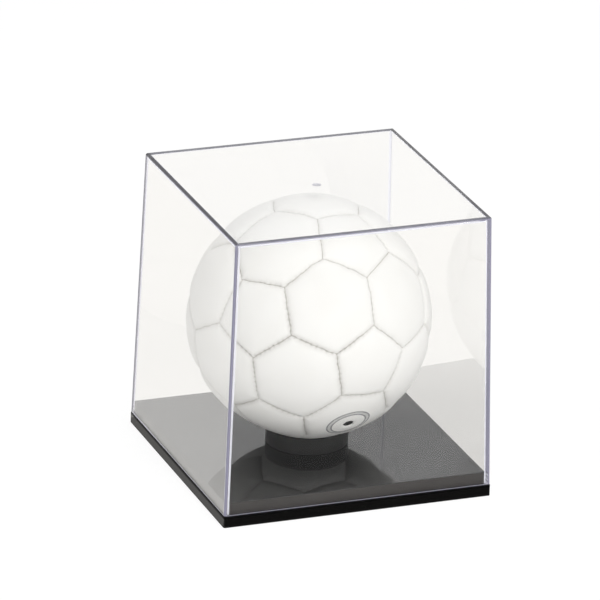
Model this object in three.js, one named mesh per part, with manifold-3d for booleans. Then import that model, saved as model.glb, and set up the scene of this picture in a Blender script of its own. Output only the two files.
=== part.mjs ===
// A display case for a handball: a black moulded base, a clear moulded cover that lifts off,
// a loose ring stand, and the stitched leather ball that stands on the ring.
// Lengths are in millimetres and +Z is up. The origin is the middle of the base's underside,
// and -Y is the front.

import * as THREE from 'three';
import { mergeVertices } from 'three/addons/utils/BufferGeometryUtils.js';
import Module from 'manifold-3d';

const wasm = await Module();
wasm.setup();

// Clearances that several pieces share
const fitGap = 0.3; // between pieces that go round or into each other
const restGap = 0.1; // under a piece that rests on another
const overrun = 5; // how far a cutting shape runs past the face it cuts

// The ball, 594 mm round at the crowns of its panels
const ballRadius = 94.5;
const seamDepth = 2.4; // from the crowns down to the seams
const leatherThickness = 2; // under the seams
const seamGap = 0.3; // between neighbouring panels
const bladderWall = 1.6;
const crownPower = 7; // how abruptly a panel's crown falls to its seam

// How the ball lies on its ring, in degrees
const ballLean = 23.75; // about Y
const ballTurn = -20.85; // about its own axis, before it leans
const valvePanelNumber = 5; // which hexagon has the valve

// The valve, measured from its tip inwards
const valveTipRadius = 4.2;
const valveSink = 0.8; // the tip lies this far under the crowns
const valveHeadRadius = 9;
const valveHeadThickness = 2;
const valveStemRadius = 4;
const valveStemLength = 16;
const needleHoleRadius = 0.8;

// The ring stand, and how far off the middle of the platform it stands
const ringRadius = 32.5;
const ringWall = 3.5;
const ringHeight = 13;
const ringEdge = 0.6; // the rounding of its outer top edge
const ringLand = 1; // the flat on top, outside the seat
const ringOffset = { x: -4, y: -5 };

// The cover
const sideRoom = 6.5; // from the ball's side to the wall, at the roof, were the ball in the middle
const headRoom = 10; // from the ball's top to the roof
const coverWall = 3;
const coverLean = 5.6; // how far each wall leans in from the rim to the roof
const coverCorner = 1.6; // the rounding of its upright outer corners
const coverInnerCorner = 0.8;
const coverEdge = 0.8; // the rounding round the roof
const gateRadius = 3.5; // the moulding's gate mark, a shallow round recess in the roof
const gateDepth = 0.4;

// The base
const rimMargin = 0.4; // how far the rim stands out past the cover
const rimHeight = 9;
const platformRise = 10.3; // from the rim up to the platform
const baseWall = 2.8;
const deckThickness = 3;
const baseCorner = 1.8;
const baseEdge = 0.6; // the rounding round the rim and the platform
const cellCorner = 1.5; // the rounding of the corners under the base
const ribThickness = 2.4;

// How finely round shapes are divided
const cornerSteps = 3; // per quarter turn of a square's corner
const edgeSteps = 3; // across a rounded edge
const ringSegments = 72;
const seatSteps = 3;
const valveSegments = 24;
const bladderSegments = 28;
const gateSegments = 24;
const panelRingShares = [0, 0.34, 0.66, 0.88, 1]; // rings of points, from a panel's middle to its seam

// Heights, from the floor up
const platformTop = rimHeight + platformRise;
const ringBottom = platformTop + restGap;
const ringTop = ringBottom + ringHeight;
const seatRadius = ringRadius - ringEdge - ringLand;
const seatSphereRadius = ballRadius + fitGap;
const ballCentreHeight = ringTop + Math.sqrt(seatSphereRadius ** 2 - seatRadius ** 2);
const coverBottom = rimHeight + restGap;
const roofInside = ballCentreHeight + ballRadius + headRoom;
const coverTop = roofInside + coverWall;

// Half widths of the square pieces
const coverTopHalf = ballRadius + sideRoom + coverWall;
const coverBottomHalf = coverTopHalf + coverLean;
const baseHalf = coverBottomHalf + rimMargin;
const platformHalf = coverHalf(platformTop) - coverWall - fitGap;

// Half the cover's outer width at a height
function coverHalf(height) {
  return coverTopHalf + (coverLean * (coverTop - height)) / (coverTop - coverBottom);
}

// Closed meshes into solids that can be joined and cut, and back
function toSolid(geometry) {
  const bare = geometry.clone();
  bare.deleteAttribute('normal');
  bare.deleteAttribute('uv');
  const merged = mergeVertices(bare);
  return new wasm.Manifold(
    new wasm.Mesh({
      numProp: 3,
      vertProperties: merged.attributes.position.array,
      triVerts: Uint32Array.from(merged.index.array),
    }),
  );
}

function toGeometry(solid) {
  const { vertProperties, triVerts } = solid.getMesh();
  const geometry = new THREE.BufferGeometry();
  geometry.setAttribute('position', new THREE.BufferAttribute(vertProperties, 3));
  geometry.setIndex(new THREE.BufferAttribute(triVerts, 1));
  geometry.computeVertexNormals();
  return geometry;
}

// Points round a square with round corners, anticlockwise
function squareOutline(half, corner) {
  const points = [];
  for (let quarter = 0; quarter < 4; quarter += 1) {
    const middle = ((quarter + 0.5) * Math.PI) / 2;
    const centreX = Math.sign(Math.cos(middle)) * (half - corner);
    const centreY = Math.sign(Math.sin(middle)) * (half - corner);
    for (let step = 0; step <= cornerSteps; step += 1) {
      const angle = ((quarter + step / cornerSteps) * Math.PI) / 2;
      points.push([centreX + corner * Math.cos(angle), centreY + corner * Math.sin(angle)]);
    }
  }
  return points;
}

// A closed shape through squares stacked from the lowest to the highest
function squareStack(layers) {
  const positions = [];
  for (const { height, half, corner } of layers) {
    for (const [x, y] of squareOutline(half, corner)) {
      positions.push(x, y, height);
    }
  }
  const around = positions.length / 3 / layers.length;
  const top = around * (layers.length - 1);
  const index = [];
  for (let low = 0; low < top; low += around) {
    const high = low + around;
    for (let point = 0; point < around; point += 1) {
      const next = (point + 1) % around;
      index.push(low + point, low + next, high + next);
      index.push(low + point, high + next, high + point);
    }
  }
  for (let point = 1; point < around - 1; point += 1) {
    index.push(0, point + 1, point);
    index.push(top, top + point, top + point + 1);
  }
  const geometry = new THREE.BufferGeometry();
  geometry.setAttribute('position', new THREE.Float32BufferAttribute(positions, 3));
  geometry.setIndex(index);
  return geometry;
}

// The layers that end a stack in a rounded upper edge
function roundedTop({ height, half, corner }, edge) {
  const layers = [];
  for (let step = 0; step <= edgeSteps; step += 1) {
    const angle = ((step / edgeSteps) * Math.PI) / 2;
    const inset = edge * (1 - Math.cos(angle));
    const drop = edge * (1 - Math.sin(angle));
    layers.push({ height: height - drop, half: half - inset, corner: corner - inset });
  }
  return layers;
}

// A turned shape about Z from its outline of radius and height pairs
function turned(outline, segments) {
  const points = outline.map(([radius, height]) => new THREE.Vector2(radius, height));
  return new THREE.LatheGeometry([...points, points[0]], segments).rotateX(Math.PI / 2);
}

// Finishes
function clearPlastic() {
  return new THREE.MeshStandardMaterial({
    color: 0xf4f6fa,
    roughness: 0.05,
    metalness: 0,
    transparent: true,
    opacity: 0.2,
  });
}

function blackGlossPlastic() {
  return new THREE.MeshStandardMaterial({ color: 0x0d0d0e, roughness: 0.12, metalness: 0 });
}

function blackSatinPlastic() {
  return new THREE.MeshStandardMaterial({ color: 0x111112, roughness: 0.35, metalness: 0 });
}

function whiteLeather() {
  return new THREE.MeshStandardMaterial({ color: 0xf4f2ec, roughness: 0.55, metalness: 0 });
}

function blackRubber() {
  return new THREE.MeshStandardMaterial({ color: 0x1a1a1a, roughness: 0.8, metalness: 0 });
}

// The base: a rim, the platform on it, and four hollow cells below, with a cross of ribs between
function baseGeometry() {
  const rim = squareStack([
    { height: 0, half: baseHalf, corner: baseCorner },
    ...roundedTop({ height: rimHeight, half: baseHalf, corner: baseCorner }, baseEdge),
  ]);
  const platform = squareStack([
    { height: rimHeight / 2, half: platformHalf, corner: baseCorner },
    ...roundedTop({ height: platformTop, half: platformHalf, corner: baseCorner }, baseEdge),
  ]);
  let solid = toSolid(rim).add(toSolid(platform));
  const hollows = [
    { reach: baseHalf - baseWall, top: rimHeight - baseWall },
    { reach: platformHalf - baseWall, top: platformTop - deckThickness },
  ];
  for (const { reach, top } of hollows) {
    const half = (reach - ribThickness / 2) / 2;
    const middle = (reach + ribThickness / 2) / 2;
    const cell = squareStack([
      { height: -overrun, half, corner: cellCorner },
      { height: top, half, corner: cellCorner },
    ]);
    for (const x of [-middle, middle]) {
      for (const y of [-middle, middle]) {
        solid = solid.subtract(toSolid(cell.clone().translate(x, y, 0)));
      }
    }
  }
  return toGeometry(solid);
}

// The cover: leaning walls and a roof of one thickness, open below, with the gate mark in the roof
function coverGeometry() {
  const shoulder = coverTop - coverEdge;
  const outer = squareStack([
    { height: coverBottom, half: coverHalf(coverBottom), corner: coverCorner },
    ...roundedTop({ height: coverTop, half: coverHalf(shoulder), corner: coverCorner }, coverEdge),
  ]);
  const below = coverBottom - overrun;
  const inner = squareStack([
    { height: below, half: coverHalf(below) - coverWall, corner: coverInnerCorner },
    { height: roofInside, half: coverHalf(roofInside) - coverWall, corner: coverInnerCorner },
  ]);
  const gate = new THREE.CylinderGeometry(gateRadius, gateRadius, gateDepth * 2, gateSegments)
    .rotateX(Math.PI / 2)
    .translate(0, 0, coverTop);
  return toGeometry(toSolid(outer).subtract(toSolid(inner)).subtract(toSolid(gate)));
}

// The ring: a short tube whose inner top edge is cut to the ball's curve
function ringGeometry() {
  const innerRadius = ringRadius - ringWall;
  const outline = [
    [innerRadius, ringBottom],
    [ringRadius, ringBottom],
  ];
  for (let step = 0; step <= edgeSteps; step += 1) {
    const angle = ((step / edgeSteps) * Math.PI) / 2;
    outline.push([
      ringRadius - ringEdge * (1 - Math.cos(angle)),
      ringTop - ringEdge * (1 - Math.sin(angle)),
    ]);
  }
  for (let step = 0; step <= seatSteps; step += 1) {
    const radius = seatRadius + ((innerRadius - seatRadius) * step) / seatSteps;
    outline.push([radius, ballCentreHeight - Math.sqrt(seatSphereRadius ** 2 - radius ** 2)]);
  }
  return turned(outline, ringSegments);
}

// The ball's pattern: the twelve corners of an icosahedron carry the pentagons and its twenty
// faces the hexagons. Every seam corner lies a third of the way along an edge.
const seamCornerShare = 1 / 3;

function icosahedronCorners() {
  const golden = (1 + Math.sqrt(5)) / 2;
  const corners = [];
  for (const one of [-1, 1]) {
    for (const long of [-golden, golden]) {
      corners.push(new THREE.Vector3(0, one, long));
      corners.push(new THREE.Vector3(one, long, 0));
      corners.push(new THREE.Vector3(long, 0, one));
    }
  }
  return corners.map((corner) => corner.normalize());
}

function areNeighbours(a, b) {
  return a !== b && a.dot(b) > 0;
}

function seamCorner(from, to) {
  return from.clone().lerp(to, seamCornerShare).normalize();
}

// Where each panel lies: the direction of its middle and of one of its seam corners
function pentagonPlaces(corners) {
  return corners.map((axis) => {
    const neighbour = corners.find((other) => areNeighbours(axis, other));
    return { axis, corner: seamCorner(axis, neighbour) };
  });
}

function hexagonPlaces(corners) {
  const places = [];
  corners.forEach((a, first) => {
    corners.slice(first + 1).forEach((b, offset) => {
      for (const c of corners.slice(first + offset + 2)) {
        if (areNeighbours(a, b) && areNeighbours(b, c) && areNeighbours(c, a)) {
          const axis = a.clone().add(b).add(c).normalize();
          places.push({ axis, corner: seamCorner(a, b) });
        }
      }
    });
  });
  return places;
}

const patternCorners = icosahedronCorners();
const pentagons = pentagonPlaces(patternCorners);
const hexagons = hexagonPlaces(patternCorners);

// Sizes inside the ball. A flat facet of a panel dips inwards, so the bladder stays under its dip.
const panelInnerRadius = ballRadius - seamDepth - leatherThickness;
const hexagonCornerAngle = hexagons[0].axis.angleTo(hexagons[0].corner);
const facetAngle = (panelRingShares[1] * hexagonCornerAngle) / Math.sqrt(3);
const bladderRadius = panelInnerRadius * Math.cos(facetAngle) - fitGap;
const bladderInnerRadius = bladderRadius - bladderWall;
const valveHoleRadius = valveTipRadius + fitGap;

// One panel about +Z, with its first seam corner over +X. Its sides point at the ball's centre,
// and each keeps half the gap between neighbours.
function panelGeometry(sides, cornerAngle) {
  const inset = seamGap / 2 / panelInnerRadius / Math.cos(Math.PI / sides);
  const rings = panelRingShares.length - 1;
  const seamRadius = ballRadius - seamDepth;
  const corners = [];
  for (let side = 0; side < sides; side += 1) {
    const angle = (side * 2 * Math.PI) / sides;
    const reach = Math.sin(cornerAngle - inset);
    corners.push(
      new THREE.Vector3(
        reach * Math.cos(angle),
        reach * Math.sin(angle),
        Math.cos(cornerAngle - inset),
      ),
    );
  }
  const middle = new THREE.Vector3(0, 0, corners[0].z);
  const outer = [];
  const inner = [];
  const start = [];
  panelRingShares.forEach((share, ring) => {
    start.push(outer.length / 3);
    const crown = seamDepth * (1 - share ** crownPower);
    for (let side = 0; side < (ring ? sides : 1); side += 1) {
      const from = middle.clone().lerp(corners[side], share);
      const to = middle.clone().lerp(corners[(side + 1) % sides], share);
      for (let step = 0; step < Math.max(ring, 1); step += 1) {
        const direction = from.clone().lerp(to, step / Math.max(ring, 1)).normalize();
        outer.push(...direction.clone().multiplyScalar(seamRadius + crown));
        inner.push(...direction.clone().multiplyScalar(panelInnerRadius));
      }
    }
  });
  const innerStart = outer.length / 3;
  const at = (ring, side, step) => start[ring] + (ring ? (side * ring + step) % (sides * ring) : 0);
  const index = [];
  const face = (a, b, c) => {
    index.push(a, b, c);
    index.push(innerStart + a, innerStart + c, innerStart + b);
  };
  for (let ring = 1; ring <= rings; ring += 1) {
    for (let side = 0; side < sides; side += 1) {
      for (let step = 0; step < ring; step += 1) {
        face(at(ring, side, step), at(ring, side, step + 1), at(ring - 1, side, step));
        if (step < ring - 1) {
          face(at(ring - 1, side, step), at(ring, side, step + 1), at(ring - 1, side, step + 1));
        }
      }
    }
  }
  for (let side = 0; side < sides; side += 1) {
    for (let step = 0; step < rings; step += 1) {
      const here = at(rings, side, step);
      const next = at(rings, side, step + 1);
      index.push(here, innerStart + here, innerStart + next);
      index.push(here, innerStart + next, next);
    }
  }
  const geometry = new THREE.BufferGeometry();
  geometry.setAttribute('position', new THREE.Float32BufferAttribute([...outer, ...inner], 3));
  geometry.setIndex(index);
  return geometry;
}

// A hole for the valve, down the middle of a shape that lies about +Z
function drilled(geometry) {
  const length = ballRadius + overrun;
  const drill = new THREE.CylinderGeometry(valveHoleRadius, valveHoleRadius, length, valveSegments)
    .rotateX(Math.PI / 2)
    .translate(0, 0, length / 2);
  return toGeometry(toSolid(geometry).subtract(toSolid(drill)));
}

function bladderGeometry() {
  const sphere = (radius) =>
    new THREE.SphereGeometry(radius, bladderSegments, bladderSegments / 2).rotateX(Math.PI / 2);
  const shell = toSolid(sphere(bladderRadius)).subtract(toSolid(sphere(bladderInnerRadius)));
  return drilled(toGeometry(shell));
}

// The valve: a tip in the hole, a head under the bladder's wall and a stem behind it
function valveGeometry() {
  const dipShare = Math.cos(Math.PI / bladderSegments);
  const tipTop = ballRadius - valveSink;
  const underWall = Math.sqrt((bladderInnerRadius * dipShare) ** 2 - valveHeadRadius ** 2);
  const headTop = underWall - fitGap;
  const headBottom = headTop - valveHeadThickness;
  const stemBottom = headBottom - valveStemLength;
  return turned(
    [
      [needleHoleRadius, stemBottom],
      [valveStemRadius, stemBottom],
      [valveStemRadius, headBottom],
      [valveHeadRadius, headBottom],
      [valveHeadRadius, headTop],
      [valveTipRadius, headTop],
      [valveTipRadius, tipTop],
      [needleHoleRadius, tipTop],
    ],
    valveSegments,
  );
}

// Turns what was made about +Z to a place on the ball
function turnedTo({ axis, corner }) {
  const side = corner.clone().addScaledVector(axis, -corner.dot(axis)).normalize();
  const across = axis.clone().cross(side);
  const basis = new THREE.Matrix4().makeBasis(side, across, axis);
  return new THREE.Quaternion().setFromRotationMatrix(basis);
}

function namedMesh(name, geometry, material) {
  const mesh = new THREE.Mesh(geometry, material);
  mesh.name = name;
  return mesh;
}

function twoDigits(number) {
  return String(number).padStart(2, '0');
}

function ballGroup() {
  const ball = new THREE.Group();
  const place = (name, geometry, material, where) => {
    const mesh = namedMesh(name, geometry, material);
    mesh.quaternion.copy(turnedTo(where));
    ball.add(mesh);
  };
  const pentagonAngle = pentagons[0].axis.angleTo(pentagons[0].corner);
  const pentagon = panelGeometry(5, pentagonAngle);
  const hexagon = panelGeometry(6, hexagonCornerAngle);
  pentagons.forEach((where, number) => {
    place(`pentagon_panel_${twoDigits(number + 1)}`, pentagon, whiteLeather(), where);
  });
  const valvePlace = hexagons[valvePanelNumber - 1];
  place('valve_panel', drilled(hexagon), whiteLeather(), valvePlace);
  hexagons
    .filter((where) => where !== valvePlace)
    .forEach((where, number) => {
      place(`hexagon_panel_${twoDigits(number + 1)}`, hexagon, whiteLeather(), where);
    });
  place('bladder', bladderGeometry(), blackRubber(), valvePlace);
  place('valve', valveGeometry(), blackRubber(), valvePlace);
  ball.rotation.set(0, THREE.MathUtils.degToRad(ballLean), THREE.MathUtils.degToRad(ballTurn));
  ball.position.z = ballCentreHeight;
  return ball;
}

// The ring and the ball stand together, a little off the middle of the platform
function standGroup() {
  const stand = new THREE.Group();
  stand.add(namedMesh('ring_stand', ringGeometry(), blackSatinPlastic()));
  stand.add(ballGroup());
  stand.position.set(ringOffset.x, ringOffset.y, 0);
  return stand;
}

const displayCase = new THREE.Group();
displayCase.add(namedMesh('base', baseGeometry(), blackGlossPlastic()));
displayCase.add(standGroup());
displayCase.add(namedMesh('cover', coverGeometry(), clearPlastic()));

export default displayCase;
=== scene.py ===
"""The looks of a handball display case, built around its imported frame.

A clear moulded cover stands round the platform of a black moulded base. Inside, a stitched
leather ball sits on a loose black ring. Everything is in metres, +Z is up and -Y is the front.
"""

import logging
import math
from collections.abc import Callable, Iterable
from dataclasses import dataclass
from enum import Enum

import bmesh
import bpy
from bmesh.types import BMEdge, BMesh, BMFace, BMVert
from bpy.types import Material, Node, NodeSocket, Object
from mathutils import Matrix, Vector, noise


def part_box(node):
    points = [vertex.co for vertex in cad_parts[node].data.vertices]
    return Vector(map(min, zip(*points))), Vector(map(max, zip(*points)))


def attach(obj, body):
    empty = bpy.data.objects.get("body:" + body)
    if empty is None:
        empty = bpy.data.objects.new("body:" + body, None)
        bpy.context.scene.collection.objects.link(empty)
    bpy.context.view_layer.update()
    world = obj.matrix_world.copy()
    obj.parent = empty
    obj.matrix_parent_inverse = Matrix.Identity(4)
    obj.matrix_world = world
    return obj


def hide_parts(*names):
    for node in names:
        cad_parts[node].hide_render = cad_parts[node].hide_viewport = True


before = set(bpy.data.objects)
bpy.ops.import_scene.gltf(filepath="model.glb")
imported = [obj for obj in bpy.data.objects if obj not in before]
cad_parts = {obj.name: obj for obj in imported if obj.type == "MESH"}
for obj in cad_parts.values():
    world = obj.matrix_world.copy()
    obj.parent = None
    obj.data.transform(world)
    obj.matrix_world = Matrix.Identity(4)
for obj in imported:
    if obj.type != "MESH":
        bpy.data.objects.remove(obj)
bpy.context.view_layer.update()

LOG = logging.getLogger("display_case")
MM = 0.001
SAME = 0.01 * MM  # lengths that differ by less count as the same
DOUBLE = 0.001 * MM  # points that lie closer are one
FLAT_ANGLE = math.radians(0.5)  # faces that differ by less lie in one plane
JUST_WITHIN = 0.99  # a share of a length that leaves room for rounding
FULL_TURN = 2 * math.pi
ROUND_PROFILE = 0.5  # a bevel's profile that is a plain arc
NO_SLOT = -1  # a bevel's material that is its neighbours'
NOISE_SEED = 1  # not 0, which would give other noise each time
UP = Vector((0, 0, 1))
LEVEL_WAYS = (Vector((1, 0, 0)), Vector((-1, 0, 0)), Vector((0, 1, 0)), Vector((0, -1, 0)))

Colour = tuple[float, float, float]


class Body(Enum):
    """The frame's bodies."""

    BASE = "base_body"
    COVER = "cover_body"
    STAND = "stand_body"
    BALL = "ball_body"


class Slot(Enum):
    """The record's material slots."""

    GLOSS = "black_gloss_plastic"
    CLEAR = "clear_plastic"
    SATIN = "black_satin_plastic"
    LEATHER = "white_leather"
    RUBBER = "black_rubber"


# Shader nodes


class Recipe:
    """A short way to write down a material's or a world's nodes."""

    def __init__(self, tree: bpy.types.NodeTree) -> None:
        """Takes a tree and empties it.

        Args:
            tree: The node tree to fill.
        """
        tree.nodes.clear()
        self.tree = tree

    def add(self, kind: str, settings: dict | None = None, **inputs: object) -> Node:
        """Adds a node.

        Args:
            kind: The node's type, without "ShaderNode".
            settings: The node's own properties.
            **inputs: Input names, with _ for a space, or in0, in1 and so on for their places,
                each with a plain value or the output that feeds it.

        Returns:
            The node.
        """
        node = self.tree.nodes.new("ShaderNode" + kind)
        for name, value in (settings or {}).items():
            setattr(node, name, value)
        for name, value in inputs.items():
            place = name[2:]
            plain = name.startswith("in") and place.isdigit()
            socket = node.inputs[int(place) if plain else name.replace("_", " ")]
            if isinstance(value, NodeSocket):
                self.tree.links.new(value, socket)
            elif isinstance(value, tuple) and len(value) == 3 and socket.type == "RGBA":
                socket.default_value = (*value, 1.0)
            else:
                socket.default_value = value
        return node

    def maths(self, operation: str, *values: object) -> NodeSocket:
        """Adds a Math node.

        Args:
            operation: What it does, such as "MULTIPLY".
            *values: Its numbers or the outputs that feed it.

        Returns:
            Its result.
        """
        numbered = {f"in{place}": value for place, value in enumerate(values)}
        return self.add("Math", {"operation": operation}, **numbered).outputs[0]

    def product(self, first: object, *others: object) -> NodeSocket:
        """Multiplies numbers.

        Args:
            first: A number or an output.
            *others: What it is multiplied by, one after the other.

        Returns:
            The product.
        """
        for value in others:
            first = self.maths("MULTIPLY", first, value)
        return first

    def vectors(self, operation: str, *values: object, **inputs: object) -> Node:
        """Adds a Vector Math node.

        Args:
            operation: What it does, such as "SUBTRACT".
            *values: Its vectors or the outputs that feed it.
            **inputs: Its other inputs, by their names.

        Returns:
            The node, because its result may be a vector or a number.
        """
        numbered = {f"in{place}": value for place, value in enumerate(values)}
        return self.add("VectorMath", {"operation": operation}, **numbered, **inputs)

    def ramp(
        self, value: object, low: float, high: float, start: float = 0.0, end: float = 1.0
    ) -> NodeSocket:
        """Maps a range smoothly to another.

        Args:
            value: The number's output.
            low: The value that gives start.
            high: The value that gives end.
            start: What is given at and below low.
            end: What is given at and above high.

        Returns:
            The mapped number.
        """
        node = self.add("MapRange", {"interpolation_type": "SMOOTHSTEP"})
        self.tree.links.new(value, node.inputs["Value"])
        for name, number in (("From Min", low), ("From Max", high), ("To Min", start), ("To Max", end)):
            node.inputs[name].default_value = number
        return node.outputs["Result"]

    def blend(self, share: object, first: object, second: object) -> NodeSocket:
        """Mixes two colours.

        Args:
            share: How much of the second shows, a number or an output.
            first: A colour or an output.
            second: A colour or an output.

        Returns:
            The mixed colour.
        """
        node = self.add("Mix", {"data_type": "RGBA"})
        for socket, value in ((node.inputs[0], share), (node.inputs[6], first), (node.inputs[7], second)):
            if isinstance(value, NodeSocket):
                self.tree.links.new(value, socket)
            else:
                socket.default_value = (*value, 1.0) if isinstance(value, tuple) else value
        return node.outputs[2]

    def layer(self, share: object, under: NodeSocket, over: NodeSocket) -> NodeSocket:
        """Mixes two shaders.

        Args:
            share: How much of the upper one shows, a number or an output.
            under: The lower shader.
            over: The upper shader.

        Returns:
            The mixed shader.
        """
        return self.add("MixShader", in0=share, in1=under, in2=over).outputs[0]

    def surface(self, **inputs: object) -> None:
        """Ends the recipe with one Principled shader.

        Args:
            **inputs: The shader's inputs, as add takes them.
        """
        self.add("OutputMaterial", Surface=self.add("BsdfPrincipled", **inputs).outputs[0])

    def place(self) -> NodeSocket:
        """Returns the point's place in the frame."""
        return self.add("TexCoord").outputs["Object"]

    def axes(self) -> bpy.types.NodeOutputs:
        """Returns the point's place in the frame as X, Y and Z."""
        return self.add("SeparateXYZ", Vector=self.place()).outputs

    def attribute(self, name: str) -> NodeSocket:
        """Returns a number that the piece's points carry."""
        return self.add("Attribute", {"attribute_name": name}).outputs["Fac"]

    def shows(self, path: Node) -> NodeSocket:
        """Tells the rays by which something is seen from those that light it.

        Args:
            path: A Light Path node.

        Returns:
            1 for a ray from the camera, a mirror or clear plastic, and 0 for the others.
        """
        rays = (path.outputs[f"Is {kind} Ray"] for kind in ("Glossy", "Transmission", "Camera"))
        seen = self.maths("MAXIMUM", next(rays), next(rays))
        return self.maths("MAXIMUM", seen, next(rays))

    def speckle(self, scale: float, detail: float = 2.0, roughness: float = 0.5) -> NodeSocket:
        """Adds a noise over the piece.

        Args:
            scale: Its features per metre.
            detail: Its octaves.
            roughness: How strong the finer octaves are.

        Returns:
            The noise, between 0 and 1.
        """
        node = self.add("TexNoise", Vector=self.place(), Scale=scale, Detail=detail, Roughness=roughness)
        return node.outputs[0]

    def bump(self, height: object, depth: float, strength: float = 1.0, under: object = None) -> NodeSocket:
        """Adds a bump.

        Args:
            height: The output with its heights, between 0 and 1.
            depth: How deep 1 is, in metres.
            strength: How much of it shows.
            under: The normal of another bump that this one lies on.

        Returns:
            The normal.
        """
        node = self.add("Bump", Height=height, Distance=depth, Strength=strength)
        if under is not None:
            self.tree.links.new(under, node.inputs["Normal"])
        return node.outputs["Normal"]


@dataclass(frozen=True)
class Speckle:
    """A noise of which one stretch is spread smoothly over a range."""

    scale: float  # features per metre
    detail: float  # octaves
    low: float  # the noise that gives start
    high: float  # the noise that gives end
    start: float = 0.0
    end: float = 1.0
    roughness: float = 0.5

    def draw(self, mix: Recipe) -> NodeSocket:
        """Adds it to a recipe and returns its value."""
        plain = mix.speckle(self.scale, self.detail, self.roughness)
        return mix.ramp(plain, self.low, self.high, self.start, self.end)


@dataclass(frozen=True)
class Relief:
    """A bump in the shape of a noise."""

    scale: float  # features per metre
    detail: float  # octaves
    depth: float
    strength: float

    def draw(self, mix: Recipe) -> NodeSocket:
        """Adds it to a recipe and returns its normal."""
        return mix.bump(mix.speckle(self.scale, self.detail), self.depth, self.strength)


def new_material(name: str) -> tuple[Material, Recipe]:
    """Makes an empty material.

    Args:
        name: The finish's name.

    Returns:
        The material and the recipe to fill it with.
    """
    material = bpy.data.materials.new(name)
    material.use_nodes = True
    return material, Recipe(material.node_tree)


# Finishes


class Kind(Enum):
    """Where on a moulding a finish lies."""

    @property
    def place(self) -> int:
        """Returns the place of this finish among the moulding's materials."""
        return list(type(self)).index(self)


class BlackKind(Kind):
    """Where on the base a black finish lies."""

    DECK = "black_gloss_plastic_deck"
    RIM = "black_gloss_plastic_rim"
    EDGE = "black_gloss_plastic_shaded_edge"
    SIDE = "black_gloss_plastic_platform_side"


class ClearKind(Kind):
    """Where on the cover a clear finish lies."""

    WALL = "clear_plastic_wall"
    GATE = "clear_plastic_gate_mark"
    EDGE = "clear_plastic_edge"
    INNER_EDGE = "clear_plastic_inner_edge"
    FOOT = "clear_plastic_foot"


@dataclass(frozen=True)
class GlossBlack:
    """Black polystyrene from a polished mould, with a faint waviness and a trace of dust."""

    kind: BlackKind = BlackKind.DECK
    colour: Colour = (0.012, 0.0118, 0.0115)
    dust_colour: Colour = (0.030, 0.029, 0.028)
    index: float = 1.75
    shine: float = 0.5
    smooth: float = 0.045
    dull: float = 0.10
    dust: Speckle = Speckle(420, 6, 0.62, 0.80, roughness=0.7)
    dust_share: float = 0.5
    dust_dullness: float = 0.08
    haze: Speckle = Speckle(9, 3, 0.35, 0.70)
    waves: Relief = Relief(16, 1, 0.02 * MM, 0.5)

    def make(self) -> Material:
        """Returns the material."""
        material, mix = new_material(self.kind.value)
        dust = self.dust.draw(mix)
        roughness = mix.ramp(self.haze.draw(mix), 0, 1, self.smooth, self.dull)
        mix.surface(
            Base_Color=mix.blend(mix.product(dust, self.dust_share), self.colour, self.dust_colour),
            Roughness=mix.maths("ADD", roughness, mix.product(dust, self.dust_dullness)),
            Normal=self.waves.draw(mix),
            IOR=self.index,
            Specular_IOR_Level=self.shine,
        )
        return material


@dataclass(frozen=True)
class SatinBlack:
    """Black plastic with a fine even spark-eroded grain."""

    colour: Colour = (0.036, 0.036, 0.035)
    worn: Colour = (0.044, 0.044, 0.043)
    roughness: float = 0.40
    worn_roughness: float = 0.50
    shine: float = 0.22
    wear: Speckle = Speckle(60, 4, 0.40, 0.75)
    grain: Relief = Relief(2600, 2, 0.03 * MM, 0.35)

    def make(self) -> Material:
        """Returns the material."""
        material, mix = new_material("black_satin_plastic_finish")
        wear = self.wear.draw(mix)
        mix.surface(
            Base_Color=mix.blend(wear, self.colour, self.worn),
            Roughness=mix.ramp(wear, 0, 1, self.roughness, self.worn_roughness),
            Normal=self.grain.draw(mix),
            Specular_IOR_Level=self.shine,
        )
        return material


@dataclass(frozen=True)
class PipedLight:
    """What an edge shows of the light that the walls lead to it."""

    side: Colour  # towards the front
    far_side: Colour  # towards the back
    top: Colour  # where it looks up, along the front and back
    far_top: Colour  # and along the left and right
    outside: float  # how much of it shows from outside the plastic
    inside: float  # how much of it shows from within the plastic
    glow: float = 0.0
    roughness: float = 0.18
    shine: float = 0.20
    turn_from: float = 0.30  # how far the edge looks up where the side's colour ends
    turn_to: float = 0.62  # and where the top's starts
    far_from: float = 0.0
    far_to: float = 90.0 * MM
    streaks: Speckle = Speckle(45, 3, 0.30, 0.70, 0.92, 1.0)

    def add_to(self, mix: Recipe, glass: NodeSocket) -> NodeSocket:
        """Lays this over clear plastic.

        Args:
            mix: The material's recipe.
            glass: The clear plastic's shader.

        Returns:
            The mixed shader.
        """
        geometry = mix.add("NewGeometry").outputs
        upwards = mix.add("SeparateXYZ", Vector=geometry["Normal"]).outputs["Z"]
        place = mix.axes()
        aside = mix.maths("SUBTRACT", mix.maths("ABSOLUTE", place["X"]), mix.maths("ABSOLUTE", place["Y"]))
        top = mix.blend(mix.ramp(aside, -MM, MM), self.top, self.far_top)
        side = mix.blend(mix.ramp(place["Y"], self.far_from, self.far_to), self.side, self.far_side)
        colour = mix.blend(mix.ramp(upwards, self.turn_from, self.turn_to), side, top)
        edge = mix.add(
            "BsdfPrincipled", Base_Color=colour, Roughness=self.roughness, Specular_IOR_Level=self.shine,
            Emission_Color=colour, Emission_Strength=self.glow,
        )
        shown = mix.ramp(geometry["Backfacing"], 0, 1, self.outside, self.inside)
        return mix.layer(mix.product(shown, self.streaks.draw(mix)), glass, edge.outputs[0])


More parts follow.
